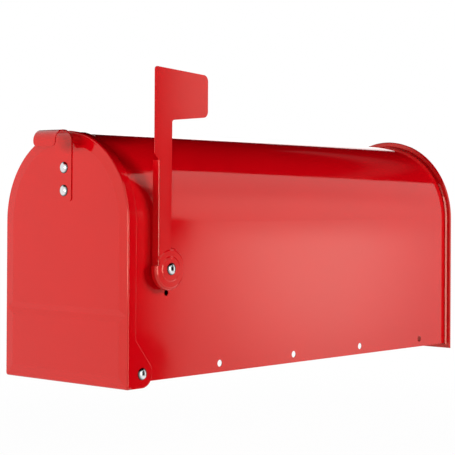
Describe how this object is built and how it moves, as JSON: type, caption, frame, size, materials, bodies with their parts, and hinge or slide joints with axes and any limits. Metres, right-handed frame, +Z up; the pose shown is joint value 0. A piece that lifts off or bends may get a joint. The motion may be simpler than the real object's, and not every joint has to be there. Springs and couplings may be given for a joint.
{
  "type": "rural mailbox",
  "caption": "Arched sheet-steel rural mailbox with a drop-down front door, a hooked door pull, a side signal flag and an open recess under its floor for a mounting board.",
  "frame": {"origin": "middle of the floor's underside, where the mounting board seats", "axes": "+Z up, -Y out of the door, +X to the flag's side"},
  "size_m": [0.1866, 0.5437, 0.2914],
  "materials": {
    "red_paint": "gloss enamel on steel sheet",
    "bright_zinc": "bright plated, domed",
    "plain_zinc": "dull zinc plate",
    "spring_steel": "bare spring steel",
    "nylon": "moulded black nylon"
  },
  "bodies": {
    "box": {"body_shell": "red_paint", "floor_panel": "red_paint", "back_panel": "red_paint", "hinge_rivet_right": "bright_zinc", "hinge_rivet_left": "bright_zinc", "hinge_spacer_right": "nylon", "hinge_spacer_left": "nylon", "hinge_washer_right": "plain_zinc", "hinge_washer_left": "plain_zinc", "flag_rivet": "bright_zinc", "flag_bush": "nylon", "flag_spring_washer": "spring_steel", "flag_backing_washer": "plain_zinc"},
    "door": {"door": "red_paint", "door_handle": "red_paint", "handle_rivet_upper": "bright_zinc", "handle_rivet_lower": "bright_zinc", "latch_spring": "spring_steel"},
    "flag": {"flag": "red_paint"}
  },
  "joints": [
    {"name": "door_hinge", "type": "hinge", "parent": "box", "child": "door", "pos_m": [0, -0.2415, -0.0115], "axis": [1, 0, 0], "range_deg": [0, 100]},
    {"name": "flag_pivot", "type": "hinge", "parent": "box", "child": "flag", "pos_m": [0.0932, -0.2145, 0.0825], "axis": [-1, 0, 0], "range_deg": [0, 90]}
  ]
}
